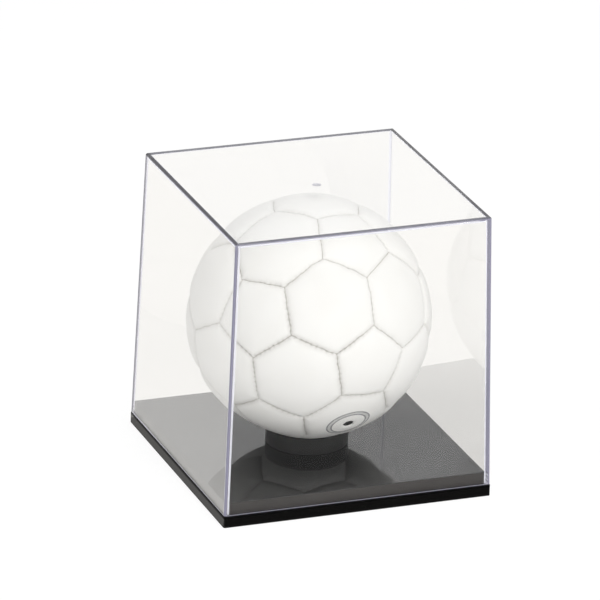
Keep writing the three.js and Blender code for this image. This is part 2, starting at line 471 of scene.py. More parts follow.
@dataclass(frozen=True)
class ClearPlastic:
    """Clear moulded plastic. Rays from lamps and between dull surfaces go straight through."""

    kind: ClearKind = ClearKind.WALL
    piped: PipedLight | None = None
    tint: Colour = (0.995, 0.995, 0.993)
    passing: Colour = (0.975, 0.975, 0.97)
    absorbed: Colour = (0.62, 0.62, 0.72)
    density: float = 4.0
    index: float = 1.52
    waves: Relief = Relief(7, 1, 0.01 * MM, 0.2)
    gate_relief: Relief = Relief(700, 3, 0.1 * MM, 0.6)
    gate_roughness: Speckle = Speckle(900, 3, 0.3, 0.7, 0.35, 0.55)
    led_depth: float = 7.5  # a ray that bounced more often, or was mirrored more often, has been led far
    led_mirrored: float = 2.5
    led: Colour = (0.30, 0.295, 0.37)  # what is left of its light
    led_bright: Colour = (0.88, 0.88, 0.90)  # and what is left in the roof and far along the right wall
    led_above: float = 226.2 * MM
    led_right: float = -85.0 * MM
    led_behind: float = -40.0 * MM
    led_blend: float = 10.0 * MM
    haze: Colour = (0.95, 0.94, 0.92)
    haze_share: float = 0.16  # of what the surface mirrors

    def _glass(self, mix: Recipe) -> NodeSocket:
        """Makes the clear shader, which is rough in the gate mark.

        Args:
            mix: The material's recipe.

        Returns:
            The shader.
        """
        is_gate = self.kind is ClearKind.GATE
        glass = mix.add(
            "BsdfPrincipled", Base_Color=self.tint, IOR=self.index, Transmission_Weight=1.0,
            Roughness=self.gate_roughness.draw(mix) if is_gate else 0.0,
            Normal=(self.gate_relief if is_gate else self.waves).draw(mix),
        )
        return glass.outputs[0]

    def _dusty(self, mix: Recipe, glass: NodeSocket) -> NodeSocket:
        """Lays a trace of dust on the outer side.

        Args:
            mix: The material's recipe.
            glass: The clear shader.

        Returns:
            The mixed shader.
        """
        dust = mix.add("BsdfDiffuse", Color=self.haze).outputs[0]
        mirrored = mix.add("Fresnel", IOR=self.index).outputs[0]
        outside = mix.maths("SUBTRACT", 1.0, mix.add("NewGeometry").outputs["Backfacing"])
        return mix.layer(mix.product(mirrored, outside, self.haze_share), glass, dust)

    def _led(self, mix: Recipe, path: Node, glass: NodeSocket) -> NodeSocket:
        """Ends the rays that the walls have led far in an even glow.

        Args:
            mix: The material's recipe.
            path: Its Light Path node.
            glass: The shader for the other rays.

        Returns:
            The mixed shader.
        """
        far = mix.maths(
            "MAXIMUM", mix.maths("GREATER_THAN", path.outputs["Ray Depth"], self.led_depth),
            mix.maths("GREATER_THAN", path.outputs["Glossy Depth"], self.led_mirrored),
        )
        place = mix.axes()
        behind = mix.ramp(place["Y"], self.led_behind, self.led_behind + self.led_blend)
        bright = mix.product(mix.maths("GREATER_THAN", place["X"], self.led_right), behind)
        bright = mix.maths("MAXIMUM", bright, mix.maths("GREATER_THAN", place["Z"], self.led_above))
        glow = mix.add("Emission", Color=mix.blend(bright, self.led, self.led_bright), Strength=1.0)
        return mix.layer(far, glass, glow.outputs[0])

    def make(self) -> Material:
        """Returns the material."""
        material, mix = new_material(self.kind.value)
        path = mix.add("LightPath")
        glass = self._glass(mix)
        if self.piped is not None:
            glass = self.piped.add_to(mix, glass)
        elif self.kind is ClearKind.WALL:
            glass = self._dusty(mix, glass)
        glass = self._led(mix, path, glass)
        through = mix.add("BsdfTransparent", Color=self.passing).outputs[0]
        dull = mix.layer(path.outputs["Is Diffuse Ray"], glass, through)
        surface = mix.layer(path.outputs["Is Shadow Ray"], dull, through)
        volume = mix.add("VolumeAbsorption", Color=self.absorbed, Density=self.density)
        mix.add("OutputMaterial", Surface=surface, Volume=volume.outputs[0])
        return material


@dataclass(frozen=True)
class PrintedRings:
    """The two plain rings printed round the valve."""

    centre: Vector
    axis: Vector
    inner: float = 14.0 * MM
    outer: float = 17.2 * MM
    line: float = 0.72 * MM
    solid: float = 0.7  # how much of a line's width is solid
    between: float = 0.45  # how much of the print shows between the rings
    colour: Colour = (0.24, 0.24, 0.25)
    worn: Speckle = Speckle(1500, 3, 0.30, 0.55, 0.55, 1.0)

    def share(self, mix: Recipe) -> NodeSocket:
        """Draws the rings by each point's distance from the valve's axis.

        Args:
            mix: The leather's recipe.

        Returns:
            How much of the print shows, from 0 to 1.
        """
        offset = mix.vectors("SUBTRACT", mix.place(), tuple(self.centre)).outputs[0]
        across = mix.vectors("CROSS_PRODUCT", offset, tuple(self.axis)).outputs[0]
        away = mix.vectors("LENGTH", across).outputs["Value"]
        band = mix.ramp(away, self.inner - self.line, self.inner, 0.0, self.between)
        total = mix.product(band, mix.ramp(away, self.outer, self.outer + self.line, 1.0, 0.0))
        for radius in (self.inner, self.outer):
            gap = mix.maths("ABSOLUTE", mix.maths("SUBTRACT", away, radius))
            ring = mix.ramp(gap, self.line * self.solid, self.line, 1.0, 0.0)
            total = mix.maths("MAXIMUM", total, ring)
        return mix.product(total, self.worn.draw(mix))


@dataclass(frozen=True)
class WhiteLeather:
    """White ball leather: a fine pebbled grain, creased and a little grubby along the seams, with painted
    shade along the seams that is darker low down and on the left.
    """

    name: str = "white_leather_finish"
    colour: Colour = (0.90, 0.893, 0.875)
    shade: Colour = (0.865, 0.855, 0.83)
    # the seams' grime and painted shade
    seam_dirt_and_shade: Colour = (0.47, 0.455, 0.425)
    stitch_colour: Colour = (0.40, 0.385, 0.36)
    smooth: float = 0.54
    dull: float = 0.66
    shine: float = 0.25
    clouds: Speckle = Speckle(55, 4, 0.35, 0.75)
    patches: Speckle = Speckle(14, 3, 0.35, 0.68, 0.45, 1.0)
    soil: Speckle = Speckle(240, 3, 0.25, 0.65, 0.35, 1.0)
    soiled_and_shaded_from: float = 0.96  # a share of the way from a panel's middle to its seam, as the next three are
    # where the painted shade along the seams starts
    painted_shade_from: float = 0.84
    creased_from: float = 0.70
    creased_to: float = 0.98
    # how dark that painted shade is
    painted_shade_share: float = 0.42
    left: float = -50.0 * MM  # the seams are painted darker on the left than on the right, as shade
    right: float = 60.0 * MM
    right_share: float = 0.45
    low: float = 70.0 * MM  # and low down than high up
    high: float = 190.0 * MM
    high_share: float = 0.62
    pebbles: float = 1500.0  # per metre
    pebble_softness: float = 0.4
    pebble_depth: float = 0.12 * MM
    pebble_strength: float = 0.30
    creases: float = 330.0  # per metre
    crease_detail: float = 4.0
    crease_roughness: float = 0.6
    crease_depth: float = 0.5 * MM
    crease_strength: float = 0.45
    print: PrintedRings | None = None

    def _grime_and_shade(self, mix: Recipe) -> NodeSocket:
        """Works out where the seams are grubby and where they are painted in shade, darker on the left and
        low down.

        Args:
            mix: The material's recipe.

        Returns:
            How grubby and shaded they are at each place, from 0 to 1.
        """
        place = mix.axes()
        across = mix.ramp(place["X"], self.left, self.right, 1.0, self.right_share)
        upwards = mix.ramp(place["Z"], self.low, self.high, 1.0, self.high_share)
        return mix.product(self.patches.draw(mix), mix.product(across, upwards))

    def _colours(self, mix: Recipe, cloud: NodeSocket, seam: NodeSocket) -> NodeSocket:
        """Colours the leather.

        Args:
            mix: The material's recipe.
            cloud: Its broad light and dark patches.
            seam: How near each point is to a seam, from 0 to 1.

        Returns:
            The colour.
        """
        # grubby patches, with painted shade that grows towards the left and low down
        grime_and_shade = self._grime_and_shade(mix)
        soiled_and_shaded = mix.product(self.soil.draw(mix), mix.ramp(seam, self.soiled_and_shaded_from, 1.0), grime_and_shade)
        # a wider band of painted shade along the seams, where the grooves would be in shade
        painted_seam_shade = mix.product(mix.ramp(seam, self.painted_shade_from, 1.0), mix.product(grime_and_shade, self.painted_shade_share))
        clouded = mix.product(mix.maths("ADD", cloud, mix.attribute("tone")), 0.5)
        colour = mix.blend(clouded, self.colour, self.shade)
        # the seams take their grime and their painted shade
        colour = mix.blend(mix.maths("MAXIMUM", soiled_and_shaded, painted_seam_shade), colour, self.seam_dirt_and_shade)
        # the stitches show more where the seams are grubby and painted in shade
        colour = mix.blend(mix.product(mix.attribute("stitch"), grime_and_shade), colour, self.stitch_colour)
        if self.print is not None:
            colour = mix.blend(self.print.share(mix), colour, self.print.colour)
        return colour

    def _grain(self, mix: Recipe, seam: NodeSocket) -> NodeSocket:
        """Gives the leather its pebbles, and creases towards the seams.

        Args:
            mix: The material's recipe.
            seam: How near each point is to a seam, from 0 to 1.

        Returns:
            The normal.
        """
        pebbles = mix.add(
            "TexVoronoi", {"feature": "SMOOTH_F1"}, Vector=mix.place(), Scale=self.pebbles,
            Smoothness=self.pebble_softness,
        )
        normal = mix.bump(pebbles.outputs["Distance"], self.pebble_depth, self.pebble_strength)
        crease = mix.speckle(self.creases, self.crease_detail, self.crease_roughness)
        crease = mix.product(crease, mix.ramp(seam, self.creased_from, self.creased_to))
        return mix.bump(crease, self.crease_depth, self.crease_strength, normal)

    def make(self) -> Material:
        """Returns the material."""
        material, mix = new_material(self.name)
        seam = mix.attribute("seam")
        cloud = self.clouds.draw(mix)
        mix.surface(
            Base_Color=self._colours(mix, cloud, seam),
            Roughness=mix.ramp(cloud, 0, 1, self.smooth, self.dull),
            Normal=self._grain(mix, seam),
            Specular_IOR_Level=self.shine,
        )
        return material


@dataclass(frozen=True)
class SeamThread:
    """Twisted waxed thread, deep in the seams."""

    colour: Colour = (0.58, 0.54, 0.48)
    dark: Colour = (0.40, 0.37, 0.32)
    smooth: float = 0.6
    dull: float = 0.8
    twist: float = 1800.0
    unevenness: float = 2.0
    detail: float = 1.0
    depth: float = 0.1 * MM
    strength: float = 0.6

    def make(self) -> Material:
        """Returns the material."""
        material, mix = new_material("seam_thread_finish")
        strands = mix.add(
            "TexWave", Vector=mix.place(), Scale=self.twist, Distortion=self.unevenness, Detail=self.detail,
        ).outputs["Fac"]
        mix.surface(
            Base_Color=mix.blend(strands, self.colour, self.dark),
            Roughness=mix.ramp(strands, 0, 1, self.smooth, self.dull),
            Normal=mix.bump(strands, self.depth, self.strength),
        )
        return material


@dataclass(frozen=True)
class BlackRubber:
    """Moulded black rubber with a chalky bloom."""

    colour: Colour = (0.020, 0.020, 0.020)
    bloom: Colour = (0.060, 0.060, 0.060)
    smooth: float = 0.55
    dull: float = 0.8
    clouds: Speckle = Speckle(300, 4, 0.45, 0.80)
    grain: Relief = Relief(1800, 2, 0.05 * MM, 0.4)

    def make(self) -> Material:
        """Returns the material."""
        material, mix = new_material("black_rubber_finish")
        cloud = self.clouds.draw(mix)
        mix.surface(
            Base_Color=mix.blend(cloud, self.colour, self.bloom),
            Roughness=mix.ramp(cloud, 0, 1, self.smooth, self.dull),
            Normal=self.grain.draw(mix),
        )
        return material


# Mesh helpers


@dataclass(frozen=True)
class Label:
    """What a finished piece is called, what carries it and what it stands for."""

    name: str
    body: Body
    slot: Slot
    nodes: tuple[str, ...] = ()

    def hand_in(self, bm: BMesh, *finishes: Material) -> Object:
        """Turns a bmesh into a finished piece of the frame.

        Args:
            bm: The piece's mesh, which is freed.
            *finishes: Its materials, in the order that its faces number them.

        Returns:
            The piece.
        """
        mesh = bpy.data.meshes.new(self.name)
        bm.to_mesh(mesh)
        bm.free()
        for finish in finishes:
            mesh.materials.append(finish)
        piece = bpy.data.objects.new(self.name, mesh)
        bpy.context.scene.collection.objects.link(piece)
        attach(piece, self.body.value)
        if self.nodes:
            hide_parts(*self.nodes)
        return piece


def near(first: float, second: float) -> bool:
    """Tells whether two lengths are the same but for rounding."""
    return abs(first - second) < SAME


def reach_of(point: Vector) -> float:
    """Returns how far a point is from the Z axis, as squares about it measure."""
    return max(abs(point.x), abs(point.y))


def of_kind(parts: Iterable[object], kind: type) -> list:
    """Picks the vertices, the edges or the faces from a mixed list."""
    return [part for part in parts if isinstance(part, kind)]


def lift(bm: BMesh, parts: Iterable[object], height: float) -> None:
    """Moves those vertices up that are among some parts."""
    bmesh.ops.translate(bm, verts=of_kind(parts, BMVert), vec=UP * height)


def level_faces(bm: BMesh, height: float) -> list[BMFace]:
    """Returns the faces that lie level at a height."""
    return [face for face in bm.faces if all(near(vert.co.z, height) for vert in face.verts)]


def edges_where(bm: BMesh, test: Callable[[Vector, Vector], bool]) -> list[BMEdge]:
    """Picks edges by their ends.

    Args:
        bm: The mesh.
        test: Says of an edge's two ends whether it is wanted.

    Returns:
        The wanted edges.
    """
    return [edge for edge in bm.edges if test(edge.verts[0].co, edge.verts[1].co)]


def turning(edges: Iterable[BMEdge]) -> list[BMEdge]:
    """Picks the edges at which a level face meets an upright one."""
    return [edge for edge in edges if len({round(face.normal.z) for face in edge.link_faces}) > 1]


def cut(bm: BMesh, faces: Iterable[BMFace], place: Vector, way: Vector) -> list[BMFace]:
    """Parts faces along a plane.

    Args:
        bm: The mesh.
        faces: The faces to part.
        place: A point of the plane.
        way: The direction at right angles to it.

    Returns:
        The faces on both sides of it.
    """
    parts = {part for face in faces for part in (face, *face.edges, *face.verts)}
    parted = bmesh.ops.bisect_plane(bm, geom=list(parts), dist=DOUBLE, plane_co=place, plane_no=way)
    return of_kind(parted["geom"], BMFace)


def round_square(bm: BMesh, half: float, corner: float, height: float, steps: int) -> BMFace:
    """Adds a level square face with round corners.

    Args:
        bm: The mesh to add to.
        half: Half the square's width.
        corner: The radius of its corners.
        height: Where it lies.
        steps: The edges along each corner.

    Returns:
        The face, which looks up.
    """
    place = Matrix.Translation(UP * height)
    made = bmesh.ops.create_grid(bm, x_segments=1, y_segments=1, size=half, matrix=place)
    kept = set(bm.faces) - set(made["verts"][0].link_faces)
    bmesh.ops.bevel(
        bm, geom=made["verts"], offset=corner, affect="VERTICES", segments=steps, profile=ROUND_PROFILE,
        material=NO_SLOT,
    )
    return next(face for face in bm.faces if face not in kept)


def round_off(bm: BMesh, edges: Iterable[BMEdge], radius: float, steps: int) -> None:
    """Rounds edges.

    Args:
        bm: The mesh.
        edges: The edges to round.
        radius: How far the rounding reaches from each edge.
        steps: The faces across it.
    """
    bmesh.ops.bevel(
        bm, geom=list(edges), offset=radius, affect="EDGES", segments=steps, profile=ROUND_PROFILE,
        material=NO_SLOT, clamp_overlap=True,
    )


def smooth_roundings(bm: BMesh, smallest: float) -> None:
    """Shades the roundings smooth and leaves the wide faces, and what lies in one plane with them, flat.

    Args:
        bm: The mesh.
        smallest: The area from which a face counts as wide.
    """
    bm.normal_update()
    ways = {face.normal.copy().freeze() for face in bm.faces if face.calc_area() > smallest}
    for face in bm.faces:
        face.smooth = all(face.normal.dot(way) < math.cos(FLAT_ANGLE) for way in ways)


def smooth_all(bm: BMesh) -> None:
    """Shades every face smooth."""
    for face in bm.faces:
        face.smooth = True


def turned(outline: Iterable[tuple[float, float]], steps: int) -> BMesh:
    """Turns a closed outline round the Z axis.

    Args:
        outline: Its corners as pairs of radius and height.
        steps: The faces around.

    Returns:
        The closed mesh.
    """
    bm = bmesh.new()
    corners = [bm.verts.new((radius, 0, height)) for radius, height in outline]
    edges = [bm.edges.new((corners[place - 1], corners[place])) for place in range(len(corners))]
    bmesh.ops.spin(
        bm, geom=corners + edges, cent=(0, 0, 0), axis=UP, dvec=(0, 0, 0), angle=FULL_TURN, steps=steps,
        use_merge=True, use_normal_flip=False, use_duplicate=False,
    )
    bmesh.ops.remove_doubles(bm, verts=bm.verts, dist=DOUBLE)
    bmesh.ops.recalc_face_normals(bm, faces=bm.faces)
    return bm


# The base


@dataclass
class Base:
    """The black moulding: a low rim and the raised platform that the cover goes round."""

    half: float = 110.0 * MM
    rim_height: float = 9.0 * MM
    platform_half: float = 106.04 * MM
    platform_top: float = 19.3 * MM
    corner: float = 1.8 * MM
    edge: float = 0.6 * MM
    foot_edge: float = 0.4 * MM
    top_line: float = 1.5 * MM  # the heights of the rim's borders, which are painted darker and mirror less, as painted shade under the cover's foot and along the floor
    foot_line: float = 1.0 * MM
    wall: float = 2.8 * MM
    deck: float = 3.0 * MM
    rib: float = 2.4 * MM
    cell_corner: float = 1.5 * MM
    corner_steps: int = 8
    edge_steps: int = 4
    cell_steps: int = 3
    foot_steps: int = 2
    smallest_wide: float = 5e-4  # square metres, of a face that is shaded flat

    def _outside(self, bm: BMesh) -> None:
        """Builds the rim and the platform.

        Args:
            bm: An empty mesh.
        """
        foot = round_square(bm, self.half, self.corner, 0, self.corner_steps)
        rim = bmesh.ops.extrude_face_region(bm, geom=[foot], use_keep_orig=True)["geom"]
        lift(bm, rim, self.rim_height)
        rim_top = of_kind(rim, BMFace)[0]
        rim_loop = list(rim_top.edges)
        bmesh.ops.delete(bm, geom=[rim_top], context="FACES_ONLY")
        deck = round_square(bm, self.platform_half, self.corner, self.platform_top, self.corner_steps)
        walls = bmesh.ops.extrude_edge_only(bm, edges=list(deck.edges))["geom"]
        lift(bm, walls, self.rim_height - self.platform_top)
        foot_loop = [
            edge for edge in of_kind(walls, BMEdge)
            if edge.is_boundary and near(edge.verts[0].co.z, edge.verts[1].co.z)
        ]
        bmesh.ops.bridge_loops(bm, edges=rim_loop + foot_loop)
        bmesh.ops.recalc_face_normals(bm, faces=bm.faces)

    def _cells(self, bm: BMesh, level: float, reach: float, top: float) -> None:
        """Sinks four cells into the underside, or into the ceilings of wider cells.

        Args:
            bm: The mesh.
            level: The height of the faces that the cells are cut from.
            reach: How far the cells go from the middle.
            top: The height that they are sunk to.
        """
        for way in (LEVEL_WAYS[0], LEVEL_WAYS[2]):
            for place in (-reach, -self.rib / 2, self.rib / 2, reach):
                cut(bm, level_faces(bm, level), way * place, way)
        wanted = []
        for face in level_faces(bm, level):
            middle = face.calc_center_median()
            inside = all(self.rib / 2 < abs(value) < reach for value in middle.xy)
            if inside and face.calc_area() > (reach / 2) ** 2:
                wanted.append(face)
        sunk = bmesh.ops.extrude_discrete_faces(bm, faces=wanted)["faces"]
        lift(bm, {vert for face in sunk for vert in face.verts}, top - level)

    def _in_cell(self, a: Vector, b: Vector) -> bool:
        """Tells whether an edge is an upright corner of a cell.

        Args:
            a: Its first end.
            b: Its second end.

        Returns:
            True if it is.
        """
        upright = near(a.x, b.x) and near(a.y, b.y)
        under_deck = max(a.z, b.z) < self.platform_top - self.deck / 2
        return upright and under_deck and reach_of(a) < self.half - self.wall / 2

    def _loop(self, bm: BMesh, half: float, height: float) -> list[BMEdge]:
        """Picks the sharp edges that run round the moulding.

        Args:
            bm: The mesh.
            half: Half the width there.
            height: Where they lie.

        Returns:
            The edges.
        """
        border = half - self.corner
        around = edges_where(
            bm, lambda a, b: all(near(end.z, height) and reach_of(end) > border for end in (a, b))
        )
        return turning(around)

    def _on_rim(self, face: BMFace) -> bool:
        """Tells whether a face is one of the rim's outer ones."""
        return reach_of(face.calc_center_median()) > self.half - self.wall / 2

    def _dress(self, bm: BMesh) -> None:
        """Gives the faces their finishes.

        Args:
            bm: The finished moulding.
        """
        for face in bm.faces:
            middle = face.calc_center_median()
            beside_deck = self.rim_height < middle.z < self.platform_top - self.edge
            kind = BlackKind.DECK
            if self._on_rim(face):
                on_side = self.foot_line < middle.z < self.rim_height - self.top_line
                # the rim's borders take the near black finish of painted shade
                kind = BlackKind.RIM if on_side else BlackKind.EDGE
            elif beside_deck and reach_of(middle) > self.platform_half - self.wall / 2:
                kind = BlackKind.SIDE
            face.material_index = kind.place

    def build(self, *finishes: Material) -> Object:
        """Builds the base.

        Args:
            *finishes: The black materials, in the order of their kinds.

        Returns:
            The piece.
        """
        bm = bmesh.new()
        self._outside(bm)
        ceiling = self.rim_height - self.wall
        self._cells(bm, 0, self.half - self.wall, ceiling)
        self._cells(bm, ceiling, self.platform_half - self.wall, self.platform_top - self.deck)
        bmesh.ops.dissolve_limit(bm, angle_limit=FLAT_ANGLE, verts=bm.verts, edges=bm.edges)
        round_off(bm, edges_where(bm, self._in_cell), self.cell_corner, self.cell_steps)
        crown = self._loop(bm, self.platform_half, self.platform_top)
        crown += self._loop(bm, self.half, self.rim_height)
        round_off(bm, crown, self.edge, self.edge_steps)
        round_off(bm, self._loop(bm, self.half, 0), self.foot_edge, self.foot_steps)
        for height in (self.foot_line, self.rim_height - self.top_line):
            cut(bm, [face for face in bm.faces if self._on_rim(face)], UP * height, UP)
        smooth_roundings(bm, self.smallest_wide)
        self._dress(bm)
        return Label("base_moulding", Body.BASE, Slot.GLOSS, ("base",)).hand_in(bm, *finishes)


# The cover


@dataclass
class Cover:
    """The clear moulding: four leaning walls and a roof of one thickness, open below."""

    bottom: float = 9.1 * MM
    top: float = 229.52 * MM
    top_half: float = 104.0 * MM
    lean: float = 5.6 * MM
    wall: float = 3.0 * MM
    corner: float = 1.6 * MM
    inner_corner: float = 1.3 * MM
    edge: float = 1.5 * MM
    inner_edge: float = 0.8 * MM
    right_strip: float = 2.3 * MM  # how far the edges' painted light reaches past their rounding on the roof
    left_strip: float = 1.1 * MM
    back_strip: float = 4.4 * MM
    front_strip: float = 1.0 * MM
    foot_edge: float = 0.3 * MM
    foot_strip: float = 0.8 * MM  # the height of the foot's own painted light
    gate_radius: float = 3.5 * MM
    gate_depth: float = 0.4 * MM
    gate_edge: float = 0.15 * MM
    gate_field: float = 14.0 * MM  # half the square of small faces round the mark
    gate_steps: int = 48
    corner_steps: int = 6
    edge_steps: int = 5
    fine_steps: int = 2  # across the small roundings of the foot and the mark
    smallest_wide: float = 2e-4  # square metres, of a face that is shaded flat

    def _half(self, height: float) -> float:
        """Returns half the outer width at a height."""
        return self.top_half + self.lean * (self.top - height) / (self.top - self.bottom)

    def _shell(self, bm: BMesh, thickness: float, corner: float, edge: float, kind: ClearKind) -> None:
        """Adds one open side of the shell.

        Args:
            bm: The mesh to add to.
            thickness: How far it lies inside the outer faces.
            corner: The radius of its upright corners.
            edge: The radius round its roof.
            kind: The finish of its roundings, which paints the light that the walls lead to them.
        """
        top = self.top - thickness
        old = set(bm.faces)
        verts = bmesh.ops.create_cube(bm, size=2)["verts"]
        floor = next(face for vert in verts for face in vert.link_faces if face.normal.z < -0.5)
        bmesh.ops.delete(bm, geom=[floor], context="FACES_ONLY")
        for vert in verts:
            height = top if vert.co.z > 0 else self.bottom
            half = self._half(height) - thickness
            vert.co = Vector((math.copysign(half, vert.co.x), math.copysign(half, vert.co.y), height))
        made = [edge for edge in bm.edges if edge.verts[0] in verts]
        upright = [edge for edge in made if not near(edge.verts[0].co.z, edge.verts[1].co.z)]
        round_off(bm, upright, corner, self.corner_steps)
        round_off(bm, level_faces(bm, top)[0].edges, edge, self.edge_steps)
        smooth_roundings(bm, self.smallest_wide)
        for face in bm.faces:
            if face not in old and face.smooth:
                face.material_index = kind.place

    def _lay_strips(self, bm: BMesh) -> None:
        """Carries the edges' painted light over the roof's borders and over the side walls' far ends, where
        it stands for the back wall's edge seen through them.

        Args:
            bm: The outer side's mesh.
        """
        border = self.top_half - self.edge
        strips = (self.right_strip, self.left_strip, self.back_strip, self.front_strip)
        right, left, back, front = (border - strip for strip in strips)
        for way, place in zip(LEVEL_WAYS, (right, left, back, front), strict=True):
            cut(bm, level_faces(bm, self.top), way * place, way)
        for face in level_faces(bm, self.top):
            middle = face.calc_center_median()
            if not (-left < middle.x < right and -front < middle.y < back):
                face.material_index = ClearKind.EDGE.place
        start = Vector((0, self.top_half - self.wall, self.top))
        for way in (-1, 1):
            side = max(bm.faces, key=lambda face: way * face.normal.x * face.calc_area())
            backwards = max(bm.faces, key=lambda face: face.normal.y * face.calc_area()).normal
            for face in cut(bm, [side], start, backwards):
                if (face.calc_center_median() - start).dot(backwards) > 0:
                    face.material_index = ClearKind.EDGE.place

    def _roof_middle(self, bm: BMesh) -> BMFace:
        """Returns the face in the middle of the roof."""
        return min(level_faces(bm, self.top), key=lambda face: face.calc_center_median().xy.length)

    def _gate(self, bm: BMesh) -> None:
        """Sinks the round gate mark into the roof.

        Args:
            bm: The outer side's mesh.
        """
        for way in LEVEL_WAYS:
            cut(bm, level_faces(bm, self.top), way * self.gate_field, way)
        edges = self._roof_middle(bm).edges
        bmesh.ops.subdivide_edges(bm, edges=edges, cuts=self.gate_steps // len(edges) - 1)
        field = self._roof_middle(bm)
        loop = list(field.edges)
        bmesh.ops.delete(bm, geom=[field], context="FACES_ONLY")
        made = bmesh.ops.create_circle(
            bm, cap_ends=True, segments=self.gate_steps, radius=self.gate_radius,
            matrix=Matrix.Translation(UP * self.top),
        )
        mark = made["verts"][0].link_faces[0]
        ring = list(mark.edges)
        for face in bmesh.ops.bridge_loops(bm, edges=loop + ring)["faces"]:
            face.material_index = ClearKind.WALL.place
        sunk = bmesh.ops.extrude_face_region(bm, geom=[mark])["geom"]
        lift(bm, sunk, -self.gate_depth)
        bottom = of_kind(sunk, BMFace)[0]
        for face in {bottom, *(face for edge in bottom.edges for face in edge.link_faces)}:
            face.material_index = ClearKind.GATE.place
        stale = [face for face in bm.faces if set(face.edges) == set(ring)]
        bmesh.ops.delete(bm, geom=stale, context="FACES_ONLY")
        round_off(bm, [edge for edge in ring if edge.is_valid], self.gate_edge, self.fine_steps)

    def build(self, *finishes: Material) -> Object:
        """Builds the cover.

        Args:
            *finishes: The clear materials, in the order of their kinds.

        Returns:
            The piece.
        """
        bm = bmesh.new()
        self._shell(bm, 0, self.corner, self.edge, ClearKind.EDGE)
        self._lay_strips(bm)
        self._gate(bm)
        outside = set(bm.faces)
        self._shell(bm, self.wall, self.inner_corner, self.inner_edge, ClearKind.INNER_EDGE)
        bmesh.ops.reverse_faces(bm, faces=[face for face in bm.faces if face not in outside])
        bmesh.ops.bridge_loops(bm, edges=[edge for edge in bm.edges if edge.is_boundary])
        bmesh.ops.recalc_face_normals(bm, faces=bm.faces)
        foot = edges_where(bm, lambda a, b: near(a.z, self.bottom) and near(b.z, self.bottom))
        round_off(bm, turning(foot), self.foot_edge, self.fine_steps)
        top_of_foot = self.bottom + self.foot_strip
        cut(bm, bm.faces, UP * top_of_foot, UP)
        smooth_roundings(bm, self.smallest_wide)
        for face in bm.faces:
            if face.calc_center_median().z < top_of_foot:
                face.material_index = ClearKind.FOOT.place
        return Label("cover_shell", Body.COVER, Slot.CLEAR, ("cover",)).hand_in(bm, *finishes)


# The ring and the ball


@dataclass
class RingStand:
    """The loose black ring that the ball sits on."""

    x: float = -4.0 * MM
    y: float = -5.0 * MM
    bottom: float = 19.4 * MM
    height: float = 13.0 * MM
    radius: float = 32.5 * MM
    wall: float = 3.5 * MM
    seat_radius: float = 30.9 * MM
    seat_drop: float = 0.66 * MM
    edge: float = 0.6 * MM
    fine_edge: float = 0.4 * MM
    steps: int = 144
    level: float = 0.999  # how far a face looks up or down that is shaded flat

    def build(self, finish: Material) -> Object:
        """Builds the ring.

        Args:
            finish: The satin black material.

        Returns:
            The piece.
        """
        top = self.bottom + self.height
        bore = self.radius - self.wall
        bm = turned(
            ((bore, self.bottom), (self.radius, self.bottom), (self.radius, top), (self.seat_radius, top),
             (bore, top - self.seat_drop)),
            self.steps,
        )
        for radius, height, edge, edge_steps in (
            (self.radius, top, self.edge, 4),
            (self.seat_radius, top, self.fine_edge, 2),
            (self.radius, self.bottom, self.fine_edge, 3),
            (bore, self.bottom, self.fine_edge, 2),
        ):
            round_off(bm, self._loop(bm, radius, height), edge, edge_steps)
        for face in bm.faces:
            face.smooth = abs(face.normal.z) < self.level
        bmesh.ops.translate(bm, verts=bm.verts, vec=(self.x, self.y, 0))
        return Label("ring_moulding", Body.STAND, Slot.SATIN, ("ring_stand",)).hand_in(bm, finish)

    def _loop(self, bm: BMesh, radius: float, height: float) -> list[BMEdge]:
        """Picks the circular edges at a radius and a height.

        Args:
            bm: The ring, about the Z axis.
            radius: The circle's radius.
            height: The circle's height.

        Returns:
            Its edges.
        """
        return edges_where(
            bm, lambda a, b: all(near(end.xy.length, radius) and near(end.z, height) for end in (a, b))
        )


@dataclass
class Panel:
    """How one panel's flat grid maps to the ball.

    The grid is a regular polygon about the origin, with its first corner at 1 on +X. Its middle
    lies on the panel's axis.
    """

    ball_radius: float
    axis: Vector  # from the ball's centre to the panel's middle
    corner: Vector  # from the ball's centre to the panel's first corner
    sides: int
    hole: float  # the radius of its hole, or 0
    seed: float  # what sets its unevenness

    def __post_init__(self) -> None:
        """Works out the grid's directions and lengths."""
        self.right = (self.corner - self.axis * self.corner.dot(self.axis)).normalized()
        self.up = self.axis.cross(self.right)
        self.reach = math.tan(self.axis.angle(self.corner))
        self.apothem = math.cos(math.pi / self.sides)
        self.start = self.hole / self.ball_radius / self.reach
        self.to_seam = self.ball_radius * self.reach * self.apothem
        turns = ((side + 0.5) * FULL_TURN / self.sides for side in range(self.sides))
        self.ways = [Vector((math.cos(turn), math.sin(turn))) for turn in turns]

    def side_of(self, flat: Vector) -> Vector:
        """Returns the direction of the side that a point of the grid is nearest to."""
        return max(self.ways, key=flat.dot)

    def along(self, flat: Vector, side: Vector) -> float:
        """Returns how far along a side a point of the grid lies, from 0 to 1."""
        return flat.dot(Vector((-side.y, side.x))) / (2 * math.sin(math.pi / self.sides)) + 0.5

    def towards(self, flat: Vector) -> Vector:
        """Returns the direction from the ball's centre to a point of the grid."""
        return (self.axis + (self.right * flat.x + self.up * flat.y) * self.reach).normalized()

    def crowd(self, flat: Vector, power: float) -> tuple[Vector, float]:
        """Moves a point of the grid outwards, so that the rows lie closer near the seam.

        Args:
            flat: The point.
            power: How much closer they lie.

        Returns:
            The moved point, and how far it is from the middle to the seam, from 0 to 1.
        """
        share = flat.dot(self.side_of(flat)) / self.apothem
        if share < 1e-6:
            return flat, share
        row = min(max(share - self.start, 0) / (1 - self.start), 1)
        moved = self.start + (1 - self.start) * (1 - (1 - row) ** power)
        return flat * (moved / share), moved


